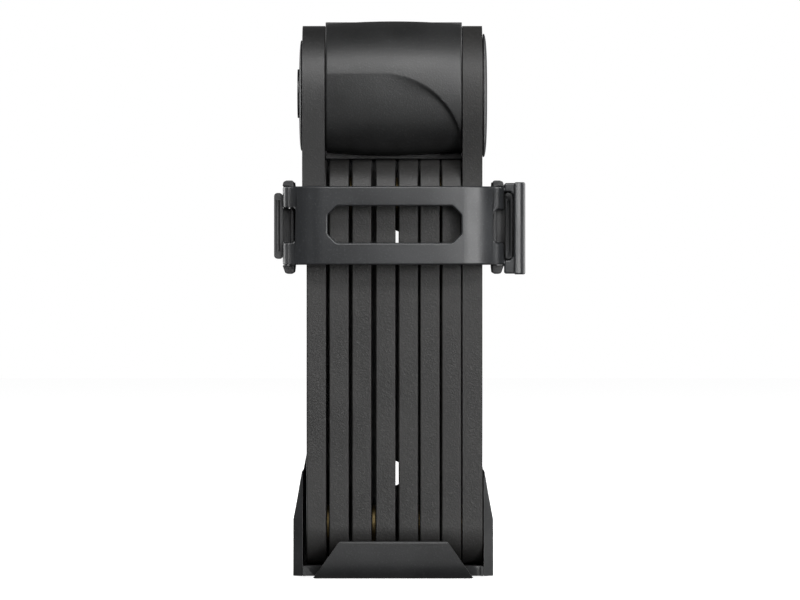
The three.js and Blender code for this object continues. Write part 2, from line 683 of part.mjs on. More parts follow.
// One side wall of the cup: side is -1 for left and 1 for right.
function cupWall(side) {
  const slope = (CUP_HALF_WIDTH - PLATE_HALF_WIDTH) / (CUP_TAPER_TOP_Z - CUP_SHOULDER_Z);
  const tipZ = CUP_SHOULDER_Z + (CUP_HALF_WIDTH - CUP_INNER_X) / slope;
  const wall = outline([
    [side * CUP_INNER_X, FLOOR_Z],
    [side * CUP_HALF_WIDTH, FLOOR_Z],
    [side * CUP_HALF_WIDTH, CUP_SHOULDER_Z],
    [side * (CUP_INNER_X + CUP_TIP.width), tipZ - CUP_TIP.drop],
    [side * CUP_INNER_X, tipZ - CUP_TIP.drop],
  ]);
  const edge = outline([
    [PLATE_FRONT_Y + 1, FLOOR_Z],
    [PLATE_FRONT_Y + 1, tipZ],
    [CUP_EDGE_Y[1], tipZ, 3],
    [CUP_EDGE_Y[0], CUP_SHOULDER_Z, 2],
    [FLOOR_FRONT_Y + 1, FLOOR_Z, 1],
  ]);
  const all = [PLATE_FRONT_Y - FAR, PLATE_FRONT_Y + 1];
  return alongY(wall, all).intersect(alongX(edge, [-FAR, FAR]));
}

// Floor of the cup and the lip in front, which leans forward and narrows upwards.
function cupFloor() {
  const across = [-CUP_HALF_WIDTH, CUP_HALF_WIDTH];
  const deep = [FLOOR_FRONT_Y + 1, PLATE_FRONT_Y + 1];
  return block(across, deep, [FLOOR_Z, FLOOR_TOP_Z]);
}

function frontLip() {
  const lean = FLOOR_FRONT_Y - LIP_LEAN;
  const section = outline([
    [FLOOR_FRONT_Y + 4, 0.1],
    [FLOOR_FRONT_Y + 4, FLOOR_TOP_Z],
    [FLOOR_FRONT_Y, FLOOR_TOP_Z],
    [lean, LIP_TOP_Z, 0.8],
    [lean - LIP_THICK, LIP_TOP_Z - 0.4, 0.8],
    [FLOOR_FRONT_Y - LIP_THICK - LIP_BELLY.y, LIP_BELLY.z, 2],
    [FLOOR_FRONT_Y - 0.5, 0.1, 1],
  ]);
  const face = outline([
    [-LIP_HALF_WIDTH, 0],
    [LIP_HALF_WIDTH, 0],
    [LIP_TOP_HALF_WIDTH, LIP_TOP_Z + 0.5, 1.2],
    [-LIP_TOP_HALF_WIDTH, LIP_TOP_Z + 0.5, 1.2],
  ]);
  const deep = [FLOOR_FRONT_Y - 12, FLOOR_FRONT_Y + 6];
  return alongX(section, [-LIP_HALF_WIDTH, LIP_HALF_WIDTH]).intersect(alongY(face, deep));
}

// One strap arm with its hook: side is -1 for left and 1 for right.
function strapArm(side) {
  const x = (a, b) => [Math.min(side * a, side * b), Math.max(side * a, side * b)];
  const webX = x(PLATE_HALF_WIDTH - MERGE, ARM_INNER_X + MERGE);
  const web = block(webX, [PLATE_FRONT_Y, PLATE_BACK_Y], ARM_WEB_Z);
  const wall = rectangle([ARM_FRONT_Y, PLATE_BACK_Y], [ARM_LOW_Z, ARM_HIGH_Z], ARM_CORNER);
  let body = web.add(alongX(wall, x(ARM_INNER_X, ARM_OUTER_X)));
  const ribY = [ARM_FRONT_Y + ARM_RIB_INSET, ARM_RIB_REAR_Y];
  const low = [ARM_LOW_Z, STRAP_LOW_Z - FIT];
  const high = [STRAP_HIGH_Z + FIT, ARM_HIGH_Z];
  for (const z of [low, high]) {
    body = body.add(block(x(ARM_OUTER_X - MERGE, ARM_RIB_X), ribY, z));
  }
  const neckX = x(ARM_OUTER_X - MERGE, HOOK_PLATE.x[0] + MERGE);
  body = body.add(block(neckX, HOOK_NECK.y, HOOK_NECK.z));
  const hook = rectangle(HOOK_PLATE.y, HOOK_PLATE.z, HOOK_PLATE.corner);
  return body.add(alongX(hook, x(...HOOK_PLATE.x)));
}

function carrier() {
  let body = backPlate().add(backRail()).add(cupFloor()).add(frontLip());
  for (const side of [-1, 1]) {
    body = body.add(cupWall(side)).add(strapArm(side));
    body = body.subtract(boltSlot(SLOT_MID_Z + (side * SLOT_SPACING) / 2));
  }
  return body;
}

// --- Strap --------------------------------------------------------------------------------

// The whole band in plan: flat in front, round both corners and back along the arms.
function bandOutline() {
  const [inner, outer] = STRAP_LEG_X;
  const flat = STRAP_FLAT_X;
  const side = STRAP_CORNER_Y;
  const outerReach = [outer - flat, side - STRAP_FRONT_Y];
  const innerReach = [inner - flat, side - STRAP_FRONT_Y - STRAP_THICK];
  const quarter = Math.PI / 2;
  const shape = new THREE.Shape();
  shape.moveTo(-outer, STRAP_LEFT_REAR_Y);
  shape.absellipse(-flat, side, ...outerReach, 2 * quarter, 3 * quarter, false);
  shape.absellipse(flat, side, ...outerReach, 3 * quarter, 4 * quarter, false);
  shape.lineTo(outer, STRAP_RIGHT_REAR_Y);
  shape.lineTo(inner, STRAP_RIGHT_REAR_Y);
  shape.absellipse(flat, side, ...innerReach, 4 * quarter, 3 * quarter, true);
  shape.absellipse(-flat, side, ...innerReach, 3 * quarter, 2 * quarter, true);
  shape.lineTo(-inner, STRAP_LEFT_REAR_Y);
  shape.closePath();
  return shape;
}

// The band with the opening behind which the left hook's neck passes.
function band() {
  const slot = block([-FAR, STRAP_SLOT.x], [-FAR, STRAP_SLOT.rear], STRAP_SLOT.z);
  return alongZ(bandOutline(), STRAP_Z).subtract(slot);
}

// The band's left end, which stays on the hook behind the line where the strap flexes.
function strapLeftEnd() {
  return band().intersect(block([-FAR, 0], [STRAP_HINGE.y + STRAP_HINGE.gap, 0], STRAP_Z));
}

// Frame on the strap's right end that passes round the hook, with the grip outside it.
function pullTab() {
  const plate = rectangle(TAB.x, TAB.z, TAB.corner);
  const windowShape = outline([
    [TAB.x[0] - 1, TAB_WINDOW_Z[0]],
    [TAB_GRIP_X - TAB_CHAMFER, TAB_WINDOW_Z[0]],
    [TAB_GRIP_X, TAB_WINDOW_Z[0] + TAB_CHAMFER],
    [TAB_GRIP_X, TAB_WINDOW_Z[1] - TAB_CHAMFER],
    [TAB_GRIP_X - TAB_CHAMFER, TAB_WINDOW_Z[1]],
    [TAB.x[0] - 1, TAB_WINDOW_Z[1]],
  ]);
  let body = alongY(plate, TAB.y).subtract(alongY(windowShape, [TAB.y[0] - 1, TAB.y[1] + 1]));
  const bridgeX = [STRAP_LEG_X[0], TAB.x[0] + MERGE];
  const bridgeLow = [STRAP_LOW_Z, TAB_WINDOW_Z[0]];
  const bridgeHigh = [TAB_WINDOW_Z[1], STRAP_HIGH_Z];
  for (const z of [bridgeLow, bridgeHigh]) {
    body = body.add(block(bridgeX, [TAB.y[0] + TAB_BRIDGE_INSET, TAB.y[1]], z));
  }
  return body;
}

// Front outline of the strap's long window, with its corners cut off.
function strapWindow() {
  const { x, z, corner } = STRAP_WINDOW;
  const shape = outline([
    [x[0] + corner, z[0]],
    [x[1] - corner, z[0]],
    [x[1], z[0] + corner],
    [x[1], z[1] - corner],
    [x[1] - corner, z[1]],
    [x[0] + corner, z[1]],
    [x[0], z[1] - corner],
    [x[0], z[0] + corner],
  ]);
  return alongY(shape, [STRAP_FRONT_Y - 2, STRAP_CORNER_Y]);
}

function strap() {
  const { x, y, radius } = STRAP_HINGE;
  const slotZ = STRAP_SLOT.z;
  const knuckles = [
    pegAlongZ(radius, [STRAP_LOW_Z, slotZ[0]], x, y),
    pegAlongZ(radius, [slotZ[1], STRAP_HIGH_Z], x, y),
  ];
  const notchY = [-FAR, STRAP_RIGHT_REAR_Y + 2];
  let body = band().subtract(block([-FAR, 0], [y, 0], STRAP_Z));
  body = body.add(knuckles[0]).add(knuckles[1]).subtract(strapWindow());
  body = body.subtract(block([STRAP_NOTCH.x, FAR], notchY, STRAP_NOTCH.z));
  return body.add(pullTab());
}

add("carrier", carrier(), materials.carrier);
add("strap_left_end", strapLeftEnd(), materials.strap);
add("strap", strap(), materials.strap);
addChain();
addHead();

export default group;
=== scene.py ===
"""Looks for the folding bike lock in its frame carrier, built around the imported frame. Lengths in the tables are in
millimetres in the row frame: +Z up, -Y towards the strap's side, origin on the carrier's back rail."""

import json
import math

import bmesh
import bpy
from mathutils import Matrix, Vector
from mathutils.bvhtree import BVHTree


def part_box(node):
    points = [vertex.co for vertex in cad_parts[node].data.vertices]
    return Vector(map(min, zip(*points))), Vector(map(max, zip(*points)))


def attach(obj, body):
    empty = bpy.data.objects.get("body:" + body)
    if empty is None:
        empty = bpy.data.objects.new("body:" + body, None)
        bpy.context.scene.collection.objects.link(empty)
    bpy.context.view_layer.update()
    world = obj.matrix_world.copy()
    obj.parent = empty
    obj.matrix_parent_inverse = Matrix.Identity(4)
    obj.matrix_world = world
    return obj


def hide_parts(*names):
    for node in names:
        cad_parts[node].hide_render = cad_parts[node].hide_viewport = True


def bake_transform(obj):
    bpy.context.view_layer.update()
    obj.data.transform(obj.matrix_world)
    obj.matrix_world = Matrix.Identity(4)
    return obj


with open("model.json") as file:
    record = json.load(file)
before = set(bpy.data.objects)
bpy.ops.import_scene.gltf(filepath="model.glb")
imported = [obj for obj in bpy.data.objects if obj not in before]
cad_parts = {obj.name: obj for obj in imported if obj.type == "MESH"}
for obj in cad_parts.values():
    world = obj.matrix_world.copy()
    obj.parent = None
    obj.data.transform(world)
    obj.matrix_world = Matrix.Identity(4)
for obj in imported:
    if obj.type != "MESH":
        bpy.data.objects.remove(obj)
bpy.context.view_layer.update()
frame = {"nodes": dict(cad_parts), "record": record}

MM = 0.001
scene = bpy.context.scene


def box_mm(node):
    """Lowest and highest corner of a CAD node in millimetres."""
    low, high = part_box(node)
    return low / MM, high / MM


# Heights are counted from BASE, 0.1 mm below the carrier's foot.
BASE = box_mm("carrier")[0].z - 0.1
LINK_BOXES = [box_mm(f"link_{i}") for i in range(1, 9)]
LINK_RADIUS = (LINK_BOXES[0][1].y - LINK_BOXES[0][0].y) / 2
STACK_Y = (LINK_BOXES[0][1].y + LINK_BOXES[0][0].y) / 2
LOW_PIVOT = LINK_BOXES[0][0].z + LINK_RADIUS
HIGH_PIVOT = LINK_BOXES[0][1].z - LINK_RADIUS
COVER_LOW, COVER_HIGH = box_mm("front_cover")
HEAD_Z = (COVER_LOW.z + COVER_HIGH.z) / 2
HEAD_HALF = (COVER_HIGH.z - COVER_LOW.z) / 2
HEAD_FRONT = STACK_Y - COVER_LOW.y
HEAD_REAR_Y = box_mm("rear_cover")[1].y
SPLIT_Y = COVER_HIGH.y
# The two side parts stand back from the covers' outline.
SIDE_INSET = 1.2
SIDE_LOW = HEAD_Z - HEAD_HALF + SIDE_INSET
KEY_Z = BASE + 133.0
CAP_Z = BASE + 132.5
HINGE_X, HINGE_Y = -25.4, STACK_Y + 8.6
# Rivet holes and the counterbores for their heads
HOLE_RADIUS, SEAT_RADIUS, HOLE_STEPS = 3.2, 4.7, 40
# How far the covers reach beyond the CAD's on the left and on the right
COVER_WIDER = (0.26, 0.12)
# How far a cutter reaches beyond what it cuts
PAST = 1


# --- Outlines -----------------------------------------------------------------------------------


def arc(u, v, radius_u, radius_v, start, end, steps):
    """Points on an elliptical arc; the angles are in degrees."""
    points = []
    for k in range(steps + 1):
        angle = math.radians(start + (end - start) * k / steps)
        points.append((u + radius_u * math.cos(angle), v + radius_v * math.sin(angle)))
    return points


def rounded(corners, steps=5):
    """A polygon of (u, v, radius) corners with each corner rounded by its radius."""
    points = []
    count = len(corners)
    for i, (u, v, radius) in enumerate(corners):
        here = Vector((u, v))
        if radius <= 0:
            points.append((u, v))
            continue
        before = (Vector(corners[i - 1][:2]) - here).normalized()
        after = (Vector(corners[(i + 1) % count][:2]) - here).normalized()
        half = math.acos(max(-1, min(1, before.dot(after)))) / 2
        reach = radius / math.tan(half)
        centre = here + (before + after).normalized() * radius / math.sin(half)
        start = here + before * reach - centre
        end = here + after * reach - centre
        turn = math.atan2(start.x * end.y - start.y * end.x, start.dot(end))
        for k in range(steps + 1):
            c, s = math.cos(turn * k / steps), math.sin(turn * k / steps)
            points.append((centre.x + start.x * c - start.y * s, centre.y + start.x * s + start.y * c))
    return points


def rectangle(u0, u1, v0, v1, radius=0.0):
    return rounded([(u0, v0, radius), (u1, v0, radius), (u1, v1, radius), (u0, v1, radius)])


# --- Meshes -------------------------------------------------------------------------------------


def make(name, verts, faces):
    """A new object from points in millimetres."""
    mesh = bpy.data.meshes.new(name)
    mesh.from_pydata([Vector(v) * MM for v in verts], [], faces)
    shape = bmesh.new()
    shape.from_mesh(mesh)
    bmesh.ops.recalc_face_normals(shape, faces=shape.faces)
    shape.to_mesh(mesh)
    shape.free()
    obj = bpy.data.objects.new(name, mesh)
    scene.collection.objects.link(obj)
    return obj


PLACES = {
    "x": lambda u, v, w: (w, u, v),
    "y": lambda u, v, w: (u, w, v),
    "z": lambda u, v, w: (u, v, w),
}


def prism(name, points, axis, low, high):
    """An outline in the plane across axis, pulled from low to high along it."""
    place = PLACES[axis]
    count = len(points)
    verts = [place(u, v, low) for u, v in points] + [place(u, v, high) for u, v in points]
    faces = [tuple(range(count)), tuple(range(count, 2 * count))]
    faces += [(k, (k + 1) % count, count + (k + 1) % count, count + k) for k in range(count)]
    return make(name, verts, faces)


def disc(name, axis, u, v, radius, low, high, steps=64):
    return prism(name, arc(u, v, radius, radius, 0, 360 - 360 / steps, steps - 1), axis, low, high)


def block(name, x, y, z):
    return prism(name, rectangle(x[0], x[1], y[0], y[1]), "z", z[0], z[1])


def turned(name, profile, y, z, steps=56, stretch=(1.0, 1.0)):
    """A profile of (x, radius) points turned about the X axis through (y, z); it starts and ends on the axis."""
    verts = [(profile[0][0], y, z)]
    for x, radius in profile[1:-1]:
        for k in range(steps):
            a = 2 * math.pi * k / steps
            verts.append((x, y + radius * stretch[0] * math.cos(a), z + radius * stretch[1] * math.sin(a)))
    verts.append((profile[-1][0], y, z))
    faces = [(0, 1 + k, 1 + (k + 1) % steps) for k in range(steps)]
    rings = len(profile) - 2
    for r in range(rings - 1):
        a, b = 1 + r * steps, 1 + (r + 1) * steps
        faces += [(a + k, a + (k + 1) % steps, b + (k + 1) % steps, b + k) for k in range(steps)]
    last, tip = 1 + (rings - 1) * steps, len(verts) - 1
    faces += [(last + k, last + (k + 1) % steps, tip) for k in range(steps)]
    return make(name, verts, faces)


def settle(obj):
    """Applies the object's modifiers to its mesh."""
    graph = bpy.context.evaluated_depsgraph_get()
    graph.update()
    mesh = bpy.data.meshes.new_from_object(obj.evaluated_get(graph))
    obj.modifiers.clear()
    old = obj.data
    obj.data = mesh
    bpy.data.meshes.remove(old)
    return obj


def combine(obj, other, operation):
    """A boolean that uses up the other object."""
    step = obj.modifiers.new("join", "BOOLEAN")
    step.operation = operation
    step.object = other
    step.solver = "EXACT"
    settle(obj)
    mesh = other.data
    bpy.data.objects.remove(other)
    bpy.data.meshes.remove(mesh)
    return obj


def cut(obj, *others):
    for other in others:
        combine(obj, other, "DIFFERENCE")
    return obj


def join(obj, *others):
    for other in others:
        combine(obj, other, "UNION")
    return obj


def tidy(obj, angle=0.6):
    """Welds close points and joins coplanar faces."""
    shape = bmesh.new()
    shape.from_mesh(obj.data)
    bmesh.ops.remove_doubles(shape, verts=shape.verts, dist=2e-6)
    bmesh.ops.dissolve_limit(
        shape, angle_limit=math.radians(angle), verts=shape.verts, edges=shape.edges, delimit={"NORMAL"}
    )
    shape.to_mesh(obj.data)
    shape.free()
    return obj


# A vertex further from the old surface than this share of the bevel has been thrown off it.
THROWN = 0.45


def soften(obj, width, segments=3, angle=32, clamp=True):
    """Rounds the edges sharper than angle. Without the clamp, vertices thrown off the surface are put back."""
    mesh = obj.data
    before = BVHTree.FromPolygons([v.co for v in mesh.vertices], [list(p.vertices) for p in mesh.polygons])
    step = obj.modifiers.new("round", "BEVEL")
    step.width = width * MM
    step.segments = segments
    step.limit_method = "ANGLE"
    step.angle_limit = math.radians(angle)
    step.use_clamp_overlap = clamp
    step.miter_outer = "MITER_ARC"
    settle(obj)
    if not clamp:
        for v in obj.data.vertices:
            place, _, _, gap = before.find_nearest(v.co)
            if gap > THROWN * width * MM:
                v.co = place
    return obj


def smooth(obj, angle=50):
    """Smooth shading that keeps the flat faces flat."""
    for face in obj.data.polygons:
        face.use_smooth = True
    obj.data.set_sharp_from_angle(angle=math.radians(angle))
    step = obj.modifiers.new("normals", "WEIGHTED_NORMAL")
    step.keep_sharp = True
    step.weight = 80
    return obj


# --- Materials ----------------------------------------------------------------------------------


PATCH_SCALE = 60.0
ROUGHNESS_DRIFT = 0.06


def surface(name, colour, roughness, grain, depth, vary=0.25, metallic=0.0, specular=0.5):
    """A procedural finish: grain is the texture's size in mm, depth its height in mm, and vary the share by which
    the colour drifts from patch to patch. The grain's peaks are lighter."""
    material = bpy.data.materials.new(name)
    material.use_nodes = True
    nodes, links = material.node_tree.nodes, material.node_tree.links
    shader = nodes["Principled BSDF"]
    shader.inputs["Metallic"].default_value = metallic
    shader.inputs["Specular IOR Level"].default_value = specular
    place = nodes.new("ShaderNodeTexCoord")

    fine = nodes.new("ShaderNodeTexNoise")
    fine.inputs["Scale"].default_value = 1.0 / (grain * MM)
    fine.inputs["Detail"].default_value = 3.0
    fine.inputs["Roughness"].default_value = 0.6
    links.new(place.outputs["Object"], fine.inputs["Vector"])

    broad = nodes.new("ShaderNodeTexNoise")
    broad.inputs["Scale"].default_value = PATCH_SCALE
    broad.inputs["Detail"].default_value = 4.0
    links.new(place.outputs["Object"], broad.inputs["Vector"])

    tone = nodes.new("ShaderNodeValToRGB")
    low = [c * (1 - vary) for c in colour]
    high = [c * (1 + vary) for c in colour]
    tone.color_ramp.elements[0].position = 0.35
    tone.color_ramp.elements[1].position = 0.65
    tone.color_ramp.elements[0].color = (*low, 1)
    tone.color_ramp.elements[1].color = (*high, 1)
    links.new(broad.outputs["Fac"], tone.inputs["Fac"])

    speck = nodes.new("ShaderNodeValToRGB")
    speck.color_ramp.elements[0].position = 0.55
    speck.color_ramp.elements[1].position = 0.75
    speck.color_ramp.elements[0].color = (0, 0, 0, 1)
    speck.color_ramp.elements[1].color = (1, 1, 1, 1)
    links.new(fine.outputs["Fac"], speck.inputs["Fac"])
    mix = nodes.new("ShaderNodeMix")
    mix.data_type = "RGBA"
    peak = [c * 1.9 + 0.004 for c in colour]
    mix.inputs[7].default_value = (*peak, 1)
    links.new(speck.outputs["Color"], mix.inputs[0])
    links.new(tone.outputs["Color"], mix.inputs[6])
    links.new(mix.outputs[2], shader.inputs["Base Color"])

    gloss = nodes.new("ShaderNodeMapRange")
    gloss.inputs["From Min"].default_value = 0.3
    gloss.inputs["From Max"].default_value = 0.7
    gloss.inputs["To Min"].default_value = max(0.05, roughness - ROUGHNESS_DRIFT)
    gloss.inputs["To Max"].default_value = min(1.0, roughness + ROUGHNESS_DRIFT)
    links.new(broad.outputs["Fac"], gloss.inputs["Value"])
    links.new(gloss.outputs["Result"], shader.inputs["Roughness"])

    bump = nodes.new("ShaderNodeBump")
    bump.inputs["Strength"].default_value = 1.0
    bump.inputs["Distance"].default_value = depth * MM
    links.new(fine.outputs["Fac"], bump.inputs["Height"])
    links.new(bump.outputs["Normal"], shader.inputs["Normal"])
    return material


FINISHES = {
    "carrier_plastic": surface("carrier_plastic", (0.0125, 0.0128, 0.0135), 0.46, 0.50, 0.035),
    "strap_rubber": surface("strap_rubber", (0.019, 0.020, 0.0215), 0.34, 0.50, 0.016, vary=0.15),
    "link_coat": surface("link_coat", (0.0145, 0.0141, 0.0137), 0.52, 0.50, 0.085, specular=0.40),
    "cover_plastic": surface("cover_plastic", (0.0125, 0.0128, 0.013), 0.46, 0.45, 0.045, vary=0.15),
    "side_plastic": surface("side_plastic", (0.0125, 0.0125, 0.0125), 0.48, 0.45, 0.045, vary=0.15),
    "cap_plastic": surface("cap_plastic", (0.015, 0.015, 0.0155), 0.40, 0.45, 0.015, vary=0.15),
    "rivet_steel": surface("rivet_steel", (0.08, 0.08, 0.085), 0.38, 0.50, 0.010, metallic=0.9),
    # washer_brass is a darker copy of cylinder_brass: painted shade for the washers set deep in the narrow gaps
    # between the links
    "washer_brass": surface("washer_brass", (0.20, 0.15, 0.07), 0.45, 0.50, 0.010, metallic=1.0),
    "case_metal": surface("case_metal", (0.12, 0.12, 0.13), 0.45, 0.60, 0.020, metallic=0.9),
    "cylinder_brass": surface("cylinder_brass", (0.55, 0.42, 0.19), 0.30, 0.80, 0.006, metallic=1.0),
    "bright_steel": surface("bright_steel", (0.45, 0.45, 0.46), 0.32, 0.70, 0.008, metallic=1.0),
}
SLOT_OF = {part["node"]: part["material_slot"] for part in frame["record"]["subparts"]}


def finish_piece(obj, body, nodes, slot):
    """Gives a piece its material, body and the CAD nodes that it stands for."""
    obj.data.materials.clear()
    obj.data.materials.append(FINISHES[slot])
    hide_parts(*nodes)
    if body:
        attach(obj, body)
    return obj


# --- Links, rivets and washers ------------------------------------------------------------------


LINK_SEAT_DEPTH = 1.6
LATCH_RADIUS = 4.8


def capsule(low, high, steps=32):
    """Side outline of a link with pivots at low and high."""
    lower = arc(STACK_Y, low, LINK_RADIUS, LINK_RADIUS, 180, 360, steps)
    upper = arc(STACK_Y, high, LINK_RADIUS, LINK_RADIUS, 0, 180, steps)
    return lower + upper


def rear_corners():
    """The barrel's two rounded corners at the back, from the top down."""
    top, bottom = HEAD_Z + HEAD_HALF - SIDE_INSET, HEAD_Z - HEAD_HALF + SIDE_INSET
    back = HEAD_REAR_Y - SIDE_INSET
    full = rounded([(STACK_Y, bottom, 0), (STACK_Y, top, 0), (back, top, 7.0), (back, bottom, 3.0)], 8)
    return full[2:]


def flank(foot_y, foot_z, base_z, steps=28):
    """Side outline of the barrel: its front runs down in a long curve to foot_y at foot_z, then on to base_z."""
    rear = rear_corners()
    top = arc(STACK_Y, HEAD_Z, HEAD_FRONT - SIDE_INSET, HEAD_HALF - SIDE_INSET, 180, 90, steps)
    front_y = STACK_Y - HEAD_FRONT + SIDE_INSET
    curve = [(foot_y, base_z)]
    for k in range(steps):
        t = k / steps
        ease = t * t * (3 - 2 * t)
        curve.append((foot_y + (front_y - foot_y) * ease, foot_z + (HEAD_Z - foot_z) * t))
    return curve + top + rear[:-1] + [(rear[-1][0], base_z)]


def add_link(i):
    low, high = LINK_BOXES[i]
    x = (low.x, high.x)
    through = (x[0] - PAST, x[1] + PAST)
    last = i == len(LINK_BOXES) - 1
    body = prism(f"plate_{i + 1}", capsule(LOW_PIVOT, HEAD_Z if last else HIGH_PIVOT), "x", *x)
    cutters = []
    if last:
        join(body, prism("head_end", flank(STACK_Y - LINK_RADIUS, BASE + 108.0, BASE + 104.0), "x", *x))
        cut(body, block("rear", through, (STACK_Y + LINK_RADIUS, 1), (BASE + 90, SIDE_LOW)))
        cutters.append(disc("hole", "x", STACK_Y, KEY_Z, LATCH_RADIUS, *through, HOLE_STEPS))
    bored_right = i % 2 == 0
    ends = [(LOW_PIVOT, not bored_right)]
    if not last:
        ends.append((HIGH_PIVOT, bored_right))
    for z, right in ends:
        cutters.append(disc("hole", "x", STACK_Y, z, HOLE_RADIUS, *through, HOLE_STEPS))
        sunk = (x[1] - LINK_SEAT_DEPTH, through[1]) if right else (through[0], x[0] + LINK_SEAT_DEPTH)
        cutters.append(disc("seat", "x", STACK_Y, z, SEAT_RADIUS, *sunk, HOLE_STEPS))
    cut(body, *cutters)
    tidy(body, 0.2)
    soften(body, 0.6 if last else 0.4, 3, 40)
    smooth(body)
    return finish_piece(body, f"link_{i + 1}", [f"link_{i + 1}"], "link_coat")


def rivet_profile(x0, x1):
    """A pin with a flat, softly rimmed head at each end."""
    head, pin, deep, r = 4.4, 2.9, 1.2, 0.25
    return [
        (x0, 0), (x0, head - r), (x0 + r * 0.3, head - r * 0.3), (x0 + r, head), (x0 + deep, head),
        (x0 + deep, pin), (x1 - deep, pin), (x1 - deep, head), (x1 - r, head), (x1 - r * 0.3, head - r * 0.3),
        (x1, head - r), (x1, 0),
    ]


def add_rivet(name, node, body, sunk=0.0):
    low, high = box_mm(node)
    rivet = turned(name, rivet_profile(low.x + sunk, high.x), STACK_Y, (low.z + high.z) / 2)
    smooth(rivet, 35)
    finish_piece(rivet, body, [node], "rivet_steel")


def add_washer(name, node, body):
    low, high = box_mm(node)
    z = (low.z + high.z) / 2
    ring = disc(name, "x", STACK_Y, z, (high.z - low.z) / 2, low.x, high.x)
    cut(ring, disc("hole", "x", STACK_Y, z, HOLE_RADIUS, low.x - PAST, high.x + PAST, HOLE_STEPS))
    soften(tidy(ring), 0.08, 2)
    smooth(ring)
    finish_piece(ring, body, [node], "washer_brass")


def add_fasteners():
    for k in range(1, 8):
        add_rivet(f"rivet_{k}", f"link_rivet_{k}", f"link_{k}")
        add_washer(f"washer_{k}", f"link_washer_{k}", f"link_{k}")
    add_rivet("head_rivet", "head_pivot_rivet", "head", sunk=0.5)


# --- Head ---------------------------------------------------------------------------------------

COVER_X = (COVER_LOW.x - COVER_WIDER[0], COVER_HIGH.x + COVER_WIDER[1])
COVER_MID_X = sum(COVER_X) / 2
COVER_RIM = 0.7
COVER_WALL = 2.6
CROWN_CURVE = 0.0024
RECESS_TOP = BASE + 138.0
RECESS_X = -3.5
RECESS_RADIUS = 22.6
SOFT_REACH, STEP_REACH = 4.2, 0.38
CHEEK_SEAT_DEPTH = 0.8
KNUCKLE_HALF = 2.6
HOLLOW_HALF = (1.1, 2.9)


def crown(x):
    """How far the cover's outline has fallen at x, with its rounded ends."""
    fall = CROWN_CURVE * (x - COVER_MID_X) ** 2
    edge = min(x - COVER_X[0], COVER_X[1] - x)
    if edge < COVER_RIM:
        fall += COVER_RIM - math.sqrt(max(0.0, COVER_RIM * COVER_RIM - (COVER_RIM - edge) ** 2))
    return fall


def recess(x, z):
    """Depth of the recessed area: it opens gently on the left and with a step along the arc."""
    if x < RECESS_X:
        inside = RECESS_TOP - z
    else:
        inside = RECESS_RADIUS - math.hypot(x - RECESS_X, z - (RECESS_TOP - RECESS_RADIUS))
    if inside <= 0:
        return 0.0
    side = min(1.0, max(0.0, (x + 6.0) / 20.0))
    side = side * side * (3 - 2 * side)
    reach = SOFT_REACH + (STEP_REACH - SOFT_REACH) * side
    return (0.95 + 0.25 * side) * (1 - math.exp(-inside / reach))


def spread(low, high, step, fine, margin):
    """Values from low to high, closer together near both ends."""
    values = [low + fine * k for k in range(int(margin / fine) + 1)]
    count = int((high - low - 2 * margin) / step)
    values += [low + margin + (high - low - 2 * margin) * k / count for k in range(1, count)]
    values += [high - v + low for v in reversed(values[: int(margin / fine) + 1])]
    return values


def add_front_cover():
    """A grid over the barrel's front, each point sunk by the crown and the recess, with a plain inner face."""
    columns = spread(*COVER_X, 0.3, 0.1, 0.8)
    rows = []
    for y in (SPLIT_Y, (SPLIT_Y + STACK_Y) / 2):
        rows.append(((y, HEAD_Z - HEAD_HALF - 0.1), (0.0, -1.0)))
    steps = 190
    for k in range(steps + 1):
        a = -math.pi / 2 + math.pi * k / steps
        normal = Vector((-math.cos(a) / HEAD_FRONT, math.sin(a) / HEAD_HALF)).normalized()
        rows.append(((STACK_Y - HEAD_FRONT * math.cos(a), HEAD_Z + HEAD_HALF * math.sin(a)), tuple(normal)))
    for y in ((SPLIT_Y + STACK_Y) / 2, SPLIT_Y):
        rows.append(((y, HEAD_Z + HEAD_HALF), (0.0, 1.0)))
    verts, faces = [], []
    wide = len(columns)
    for (y, z), (ny, nz) in rows:
        for x in columns:
            sunk = crown(x) + recess(x, z) - 0.08 * max(0.0, nz)
            verts.append((x, y - ny * sunk, z - nz * sunk))
    inner = len(verts)
    for (y, z), (ny, nz) in rows:
        for x in COVER_X:
            verts.append((x, y - ny * COVER_WALL, z - nz * COVER_WALL))
    for r in range(len(rows) - 1):
        for c in range(wide - 1):
            a = r * wide + c
            faces.append((a, a + 1, a + wide + 1, a + wide))
        b = inner + 2 * r
        faces.append((b, b + 2, b + 3, b + 1))
        a = r * wide
        faces.append((a, a + wide, b + 2, b))
        faces.append((a + wide - 1, b + 1, b + 3, a + 2 * wide - 1))
    first = list(range(wide))
    faces.append(tuple(first + [inner + 1, inner]))
    last = [(len(rows) - 1) * wide + c for c in range(wide)]
    b = inner + 2 * (len(rows) - 1)
    faces.append(tuple(last + [b + 1, b]))
    body = make("cover_front", verts, faces)
    smooth(body, 45)
    return finish_piece(body, "head", ["front_cover"], "cover_plastic")


def refined(node, name, width):
    """A copy of a CAD node with its edges rounded."""
    source = frame["nodes"][node]
    obj = bpy.data.objects.new(name, source.data.copy())
    scene.collection.objects.link(obj)
    tidy(obj, 0.5)
    soften(obj, width, 2, 38)
    return smooth(obj)


def hinge_hollow(x):
    """Room for the flap's knuckle."""
    y_half, z_half = HOLLOW_HALF
    return block("hollow", x, (HINGE_Y - y_half, HINGE_Y + y_half), (KEY_Z - z_half, KEY_Z + z_half))


